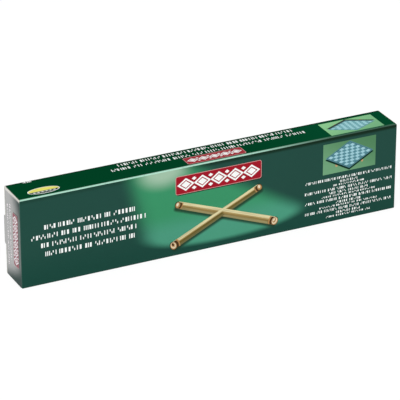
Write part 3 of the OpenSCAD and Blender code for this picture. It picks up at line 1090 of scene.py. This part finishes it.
def pictured_wheel(name, face_name, place, size, inward, kind):
    """The turned end of a pictured bar: a collar, a dark groove and a ringed bead. inward points
    along the bar."""
    centre, size, inward = Vector(place) * MM, size * MM, Vector(inward).normalized()
    turn = math.atan2(-inward.y, inward.x)
    for part, shift, along, across, tone, layer in WHEEL_DISCS:
        disc = flat_disc(f"{name}_{part}", centre + shift * size * inward,
                         (along * size, across * size), corners=24, turn=turn)
        use_inks(disc, ink(tone))
        print_on(disc, face_name, layer)
    bead = flat_disc(name, centre, (BEAD_LENGTH * size, BEAD_WIDTH * size), corners=28, turn=turn)
    tones, widths = WHEEL_RINGS[kind]
    use_inks(bead, *(ink(tone) for tone in tones), rings=[width * size for width in widths],
             shift=RING_SHIFT)
    print_on(bead, face_name, BEAD_LAYER)


def board_picture(name, face_name, middle, size, half_size, depth, tint=""):
    """A small picture of a plain chequered game board on its turntable, on a green ground. depth is
    how thick the board looks, and tint the start of the names of its inks."""
    edge, slate, ice = ink("board_edge"), ink(tint + "slate"), ink(tint + "ice")
    centre, half = Vector(middle) * MM, Vector(half_size) * MM
    ground = flat_rectangle(name + "_ground", centre, Vector(size) * MM)
    print_on(ground, face_name)
    corners = [vertex.co for vertex in ground.data.vertices]
    low, high = (Vector([pick(corner[axis] for corner in corners) for axis in range(3)])
                 for pick in (min, max))
    inks = settings("ink")
    use_inks(ground, lawn_ink(name + "_lawn", low, high, getattr(inks, tint + "lawn"),
                              getattr(inks, tint + "lawn_far")))
    centre = centre - BOARD_RISE
    nubs = [flat_disc("nub", centre + Vector((side * NUB_PLACE[0], NUB_PLACE[1])) * half,
                      NUB_SIZE, corners=14) for side in (-1, 1)]
    nub = joined(name + "_wheels", nubs)
    use_inks(nub, ink("bar_end"))
    print_on(nub, face_name, layer=1)
    under = flat_disc(name + "_edge", centre + Vector((0.0, depth)) * MM, 2 * EDGE_SHARE * half,
                      corners=4)
    use_inks(under, edge)
    print_on(under, face_name, layer=2)
    rim = flat_disc(name + "_rim", centre, 2 * half, corners=4)
    use_inks(rim, slate, edge, slate, rings=BOARD_RIMS)
    print_on(rim, face_name, layer=3)
    squares = flat_grid(name + "_squares", BOARD_SQUARES, BOARD_SQUARES)
    use_inks(squares, slate, ice)
    for polygon in squares.data.polygons:
        column, row = (int((value + 0.5) * BOARD_SQUARES) for value in polygon.center[:2])
        polygon.material_index = (column + row) % 2
    squares.rotation_euler = (0.0, 0.0, math.radians(45))
    apply_transform()
    set_out(squares.name, centre, SQUARES_SHARE * math.sqrt(2) * half)
    print_on(squares, face_name, layer=4)


def oval_badge(name, face_name, middle, size):
    """An oval badge: a white rim, a yellow lower part, and a dark upper part with lozenges."""
    centre, size = Vector(middle) * MM, Vector(size) * MM
    white, dark = ink("white"), ink("board_edge")
    badge = flat_disc(name, centre, size, corners=56)
    use_inks(badge, white, ink("yellow"), dark, rings=[BADGE_RIM])
    bpy.ops.object.mode_set(mode="EDIT")
    split = -centre.y + BADGE_SPLIT * size.y
    bpy.ops.mesh.bisect(plane_co=(centre.x, split, 0.0), plane_no=(0.0, 1.0, 0.0))
    select_faces(badge, lambda polygon: polygon.material_index == 1 and polygon.center.y > split)
    fill_selected(badge, 2)
    object_mode()
    print_on(badge, face_name)
    pitch = BADGE_PITCH * size.x
    lozenge_row(name + "_ornament", face_name, (centre.x, centre.y - BADGE_ROW * size.y), pitch,
                BADGE_LOZENGES, (BADGE_LOZENGE * pitch, BADGE_HEIGHT * size.y), 1,
                (white, dark, white))


# ---------------------------------------------------------------- operators

class CartonOperator(bpy.types.Operator):
    """Base of the steps below"""
    bl_options = {"REGISTER", "UNDO"}


class CARTON_OT_effects(CartonOperator):
    """Builds the node groups that the materials share"""
    bl_idname = "carton.effects"
    bl_label = "Build shared effects"

    def execute(self, context):
        for build in EFFECTS:
            build()
        return {"FINISHED"}


class CARTON_OT_board(CartonOperator):
    """Gives the carton's panels, closures and flaps their printed and raw board"""
    bl_idname = "carton.board"
    bl_label = "Finish the board"

    def execute(self, context):
        board, quarter = settings("board"), math.pi / 2
        dress(["front_panel"], wall_print("printed_front", (quarter, 0.0, 0.0), (-LEFT, TOP, 0.0),
                                          RIGHT - board.thickness / 2))
        dress(["back_panel"], wall_print("printed_back", (-quarter, 0.0, math.pi),
                                         (RIGHT, TOP, 0.0)))
        dress(["top_panel"], level_print("printed_top", CREASE_STRENGTHS, 0.0))
        dress(["bottom_panel"], level_print("printed_bottom", (), 0.1))
        dress([f"{side}_closure" for side in ENDS], end_print("printed_end"))
        flaps = [f"{side}_{flap}_flap" for side in ENDS
                 for flap in ("tuck", "upper_dust", "lower_dust")]
        dress(flaps + ["glue_flap"], flap_board("raw_board"))
        return {"FINISHED"}


class CARTON_OT_turntable(CartonOperator):
    """Gives the arms, wheels, screws and washers their wood and metal"""
    bl_idname = "carton.turntable"
    bl_label = "Finish the turntable"

    def execute(self, context):
        tones = settings("wood")
        for level, behind in PITH_BEHIND.items():
            low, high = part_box(f"{level}_arm")
            middle = (low + high) / 2
            dress([f"{level}_arm"], wood(f"{level}_arm_wood", tones.pale, tones.dark,
                                         middle + Vector((0.0, behind, ARM_PITH_RISE))))
            dress([f"{level}_{side}_wheel" for side in ENDS],
                  wood(f"{level}_wheel_wood", tones.wheel_pale, tones.wheel_dark,
                       middle + Vector((0.0, -behind, WHEEL_PITH_RISE))))
            dress([f"{level}_axle_screws"],
                  metal(f"{level}_screw_steel", tones.steel, STEEL_RELIEF))
            dress([f"{level}_washers"], metal(f"{level}_washer_zinc", tones.zinc, ZINC_RELIEF))
        return {"FINISHED"}


class CARTON_OT_lines(CartonOperator):
    """Prints the lines of strokes on every face"""
    bl_idname = "carton.lines"
    bl_label = "Print the lines"

    def execute(self, context):
        inks = settings("ink")
        for name, seed in (("front", 3), ("back", 5)):
            stroke_block(name + "_lines", name, FRONT_LINES, inks.stroke, seed)
            stroke_block(name + "_small_lines", name, SMALL_LINES, inks.small_stroke, seed + 8)
        stroke_block("top_lines", "top", TOP_LINES, inks.stroke, 17)
        stroke_block("top_corner_line", "top", TOP_CORNER_LINE, inks.small_stroke, 19)
        stroke_block("bottom_line", "bottom", BOTTOM_LINE, inks.small_stroke, 23)
        for side in ENDS:
            # the ends' lines carry the painted reflection of the ends' glossy film
            stroke_block(f"{side}_end_lines", f"{side}_end", END_LINES, inks.small_stroke, 29,
                         "hazed_white")
        return {"FINISHED"}


class CARTON_OT_plaques(CartonOperator):
    """Prints the red plaques and the oval badge"""
    bl_idname = "carton.plaques"
    bl_label = "Print the plaques"

    def execute(self, context):
        for name in ("front", "back"):
            plaque(name + "_plaque", name, *FRONT_PLAQUE)
        plaque("top_plaque", "top", *TOP_PLAQUE, fill=0.54)
        for side in ENDS:
            # the ends' plaques carry the painted reflection of the ends' glossy film
            plaque(f"{side}_end_plaque", f"{side}_end", *END_PLAQUE, count=6,
                   tones=("hazed_red", "hazed_rim", "hazed_white"), fill=0.94)
        oval_badge("top_badge", "top", *TOP_BADGE)
        return {"FINISHED"}


class CARTON_OT_pictures(CartonOperator):
    """Prints the crossed bars and the small pictures of a game board"""
    bl_idname = "carton.pictures"
    bl_label = "Print the pictures"

    def execute(self, context):
        for face_name in ("front", "back"):
            for index, (near, far, kind) in enumerate(PICTURED_BARS):
                name = f"{face_name}_bar_{index + 1}"
                pictured_bar(name, face_name, near, far, BAR_STRIPS[index], 1 - index)
                inward = Vector(far) - Vector(near)
                pictured_wheel(name + "_near_wheel", face_name, near, NEAR_WHEEL, inward, kind)
                pictured_wheel(name + "_far_wheel", face_name, far, FAR_WHEEL, -inward, "far")
            board_picture(face_name + "_board", face_name, *FRONT_PICTURE)
        board_picture("top_board", "top", *TOP_PICTURE, "top_")
        return {"FINISHED"}


def seen_rays(tree):
    """1 for rays that show the background: from the camera, and through or off a piece."""
    path = tree.add("ShaderNodeLightPath")
    return tree.largest(path["Is Camera Ray"], path["Is Glossy Ray"], path["Is Transmission Ray"])


class CARTON_OT_stage(CartonOperator):
    """Sets the camera, the floor and the light"""
    bl_idname = "carton.stage"
    bl_label = "Set the stage"

    def execute(self, context):
        stage = settings("stage")
        self.place_camera(context, stage)
        self.lay_floor(context, stage)
        self.light_scene(context, stage)
        context.scene.view_settings.view_transform = "Standard"
        return {"FINISHED"}

    def place_camera(self, context, stage):
        """Sets the camera where it sees the carton as in the photograph."""
        turn, rise = stage.azimuth, stage.elevation
        back = Vector((math.sin(turn) * math.cos(rise), -math.cos(turn) * math.cos(rise),
                       math.sin(rise)))
        select_nothing()
        bpy.ops.object.camera_add(location=Vector(stage.target) + stage.distance * back)
        camera = context.object
        camera.name = "camera"
        camera.rotation_euler = (-back).to_track_quat("-Z", "Y").to_euler()
        camera.data.lens = stage.lens
        camera.data.sensor_width = SENSOR_WIDTH
        camera.data.clip_end = FARTHEST
        context.scene.camera = camera

    def lay_floor(self, context, stage):
        """A plain floor that the camera and glossy rays see lifted towards white."""
        select_nothing()
        bpy.ops.mesh.primitive_plane_add(size=FLOOR_SIZE, location=(0.0, 0.0, BOTTOM))
        floor = context.object
        floor.name = "floor"
        tree = Material("floor")
        tree.tree.nodes.remove(tree.shader)
        plain = tree.add("ShaderNodeBsdfDiffuse", {"Color": stage.floor})
        white = tree.add("ShaderNodeEmission", {"Color": WHITE, "Strength": stage.lift})
        shaded = tree.add("ShaderNodeBsdfDiffuse", {"Color": stage.shade})
        lifted = tree.add("ShaderNodeAddShader", {0: white[0], 1: shaded[0]})
        result = tree.add("ShaderNodeMixShader", {0: seen_rays(tree), 1: plain[0], 2: lifted[0]})
        tree.put(tree.tree.nodes["Material Output"].inputs["Surface"], result[0])
        floor.data.materials.append(tree.made)

    def light_scene(self, context, stage):
        """An even light from all sides, a plain white background and two lamps."""
        world = bpy.data.worlds.new("studio")
        context.scene.world = world
        world.use_nodes = True
        tree = Tree(world.node_tree)
        tree.tree.nodes.remove(tree.tree.nodes["Background"])
        even, shown = (tree.add("ShaderNodeBackground", {"Color": WHITE, "Strength": strength})
                       for strength in (stage.sky, 1.0))
        mixed = tree.add("ShaderNodeMixShader", {0: seen_rays(tree), 1: even[0], 2: shown[0]})
        tree.put(tree.tree.nodes["World Output"].inputs["Surface"], mixed[0])
        for name, (place, size) in LAMPS.items():
            select_nothing()
            bpy.ops.object.light_add(type="AREA", location=place)
            lamp = context.object
            lamp.name = name
            lamp.data.energy = getattr(stage, name)
            lamp.data.size = size
            aim = Vector((0.0, 0.0, TOP / 2)) - Vector(place)
            lamp.rotation_euler = aim.to_track_quat("-Z", "Y").to_euler()


class CARTON_PT_steps(bpy.types.Panel):
    """The steps that finish the carton, in order"""
    bl_idname = "CARTON_PT_steps"
    bl_label = "Carton"
    bl_space_type = "VIEW_3D"
    bl_region_type = "UI"
    bl_category = "Carton"

    def draw(self, context):
        for step in STEPS:
            self.layout.operator(step.bl_idname)
        for part, group in SETTINGS.items():
            box = self.layout.box()
            box.label(text=part.capitalize())
            for name in group.__annotations__:
                box.prop(settings(part), name)


STEPS = (CARTON_OT_effects, CARTON_OT_board, CARTON_OT_turntable, CARTON_OT_lines,
         CARTON_OT_plaques, CARTON_OT_pictures, CARTON_OT_stage)
CLASSES = (*SETTINGS.values(), *STEPS, CARTON_PT_steps)


def register():
    """Makes the settings, steps and panel known to Blender."""
    for item in CLASSES:
        bpy.utils.register_class(item)
    for part, group in SETTINGS.items():
        setattr(bpy.types.Scene, "carton_" + part, PointerProperty(type=group))


def unregister():
    """Takes them away again."""
    for part in SETTINGS:
        delattr(bpy.types.Scene, "carton_" + part)
    for item in reversed(CLASSES):
        bpy.utils.unregister_class(item)


def main():
    """Takes every step in order."""
    register()
    bpy.ops.carton.effects()
    bpy.ops.carton.board()
    bpy.ops.carton.turntable()
    bpy.ops.carton.lines()
    bpy.ops.carton.plaques()
    bpy.ops.carton.pictures()
    bpy.ops.carton.stage()


if __name__ == "__main__":
    main()
